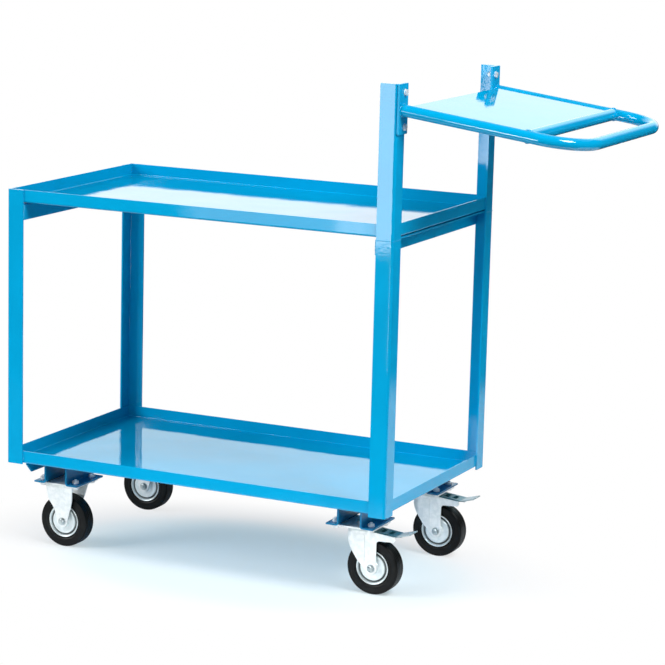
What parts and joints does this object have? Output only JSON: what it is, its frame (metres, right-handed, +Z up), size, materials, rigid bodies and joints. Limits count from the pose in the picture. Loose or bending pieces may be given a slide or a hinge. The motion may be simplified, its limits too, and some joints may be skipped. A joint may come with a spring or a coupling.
{
  "type": "order picking trolley",
  "caption": "Two-tray steel order picking trolley with a raised push handle that carries a sloping writing shelf, fixed castors at the nose and braked swivel castors behind.",
  "frame": {"origin": "floor level, at the centre of the overall length and width", "axes": "+X from the nose to the push end, +Y to the pusher's right, +Z up"},
  "size_m": [1.4362, 0.58, 1.187],
  "materials": {
    "blue_paint": "glossy light blue powder coat with a slight orange peel",
    "zinc_steel": "bright zinc-plated pressed steel",
    "zinc_rim": "bright zinc-plated pressed steel",
    "zinc_fasteners": "zinc-plated hexagon bolts and nuts",
    "steel_bush": "plain turned steel",
    "dark_pedal": "grey-green coated pressed steel",
    "black_rubber": "matt black solid rubber"
  },
  "bodies": {
    "frame": {"upright_front_left": "blue_paint", "upright_front_right": "blue_paint", "upright_rear_left": "blue_paint", "upright_rear_right": "blue_paint", "post_left": "blue_paint", "post_right": "blue_paint", "upper_tray": "blue_paint", "lower_tray": "blue_paint", "upper_front_cross": "blue_paint", "upper_rear_cross": "blue_paint", "lower_front_cross": "blue_paint", "handle_plate_left": "blue_paint", "handle_plate_right": "blue_paint", "handle_bolts": "zinc_fasteners", "handle_nuts": "zinc_fasteners", "handle_tube": "blue_paint", "handle_cross_tube": "blue_paint", "writing_shelf": "blue_paint", "castor_bolts": "zinc_fasteners", "castor_nuts": "zinc_fasteners", "front_left_bracket": "blue_paint", "front_left_plate": "zinc_steel", "front_left_fork": "zinc_steel", "front_left_axle": "zinc_fasteners", "front_right_bracket": "blue_paint", "front_right_plate": "zinc_steel", "front_right_fork": "zinc_steel", "front_right_axle": "zinc_fasteners", "rear_left_bracket": "blue_paint", "rear_left_plate": "zinc_steel", "rear_left_king_pin": "steel_bush", "rear_right_bracket": "blue_paint", "rear_right_plate": "zinc_steel", "rear_right_king_pin": "steel_bush"},
    "front_left_wheel": {"front_left_tyre": "black_rubber", "front_left_rim": "zinc_rim", "front_left_hub_bush": "steel_bush"},
    "front_right_wheel": {"front_right_tyre": "black_rubber", "front_right_rim": "zinc_rim", "front_right_hub_bush": "steel_bush"},
    "rear_left_swivel": {"rear_left_fork": "zinc_steel", "rear_left_axle": "zinc_fasteners", "rear_left_ball_race": "zinc_steel", "rear_left_pedal_pin": "zinc_fasteners"},
    "rear_left_wheel": {"rear_left_tyre": "black_rubber", "rear_left_rim": "zinc_rim", "rear_left_hub_bush": "steel_bush"},
    "rear_left_brake": {"rear_left_pedal": "dark_pedal", "rear_left_brake_shoe": "black_rubber"},
    "rear_right_swivel": {"rear_right_fork": "zinc_steel", "rear_right_axle": "zinc_fasteners", "rear_right_ball_race": "zinc_steel", "rear_right_pedal_pin": "zinc_fasteners"},
    "rear_right_wheel": {"rear_right_tyre": "black_rubber", "rear_right_rim": "zinc_rim", "rear_right_hub_bush": "steel_bush"},
    "rear_right_brake": {"rear_right_pedal": "dark_pedal", "rear_right_brake_shoe": "black_rubber"}
  },
  "joints": [
    {"name": "front_left_wheel_spin", "type": "hinge", "parent": "frame", "child": "front_left_wheel", "pos_m": [-0.60309, -0.199, 0.064], "axis": [0, 1, 0], "continuous": true},
    {"name": "front_right_wheel_spin", "type": "hinge", "parent": "frame", "child": "front_right_wheel", "pos_m": [-0.60309, 0.199, 0.064], "axis": [0, 1, 0], "continuous": true},
    {"name": "rear_left_swivel_turn", "type": "hinge", "parent": "frame", "child": "rear_left_swivel", "pos_m": [0.17441, -0.187, 0.154], "axis": [0, 0, 1], "continuous": true},
    {"name": "rear_left_wheel_spin", "type": "hinge", "parent": "rear_left_swivel", "child": "rear_left_wheel", "pos_m": [0.21541, -0.187, 0.064], "axis": [0, 1, 0], "continuous": true},
    {"name": "rear_left_brake_press", "type": "hinge", "parent": "rear_left_swivel", "child": "rear_left_brake", "pos_m": [0.21941, -0.187, 0.1362], "axis": [0, 1, 0], "range_deg": [0, 10]},
    {"name": "rear_right_swivel_turn", "type": "hinge", "parent": "frame", "child": "rear_right_swivel", "pos_m": [0.17441, 0.187, 0.154], "axis": [0, 0, 1], "continuous": true},
    {"name": "rear_right_wheel_spin", "type": "hinge", "parent": "rear_right_swivel", "child": "rear_right_wheel", "pos_m": [0.21541, 0.187, 0.064], "axis": [0, 1, 0], "continuous": true},
    {"name": "rear_right_brake_press", "type": "hinge", "parent": "rear_right_swivel", "child": "rear_right_brake", "pos_m": [0.21941, 0.187, 0.1362], "axis": [0, 1, 0], "range_deg": [0, 10]}
  ]
}
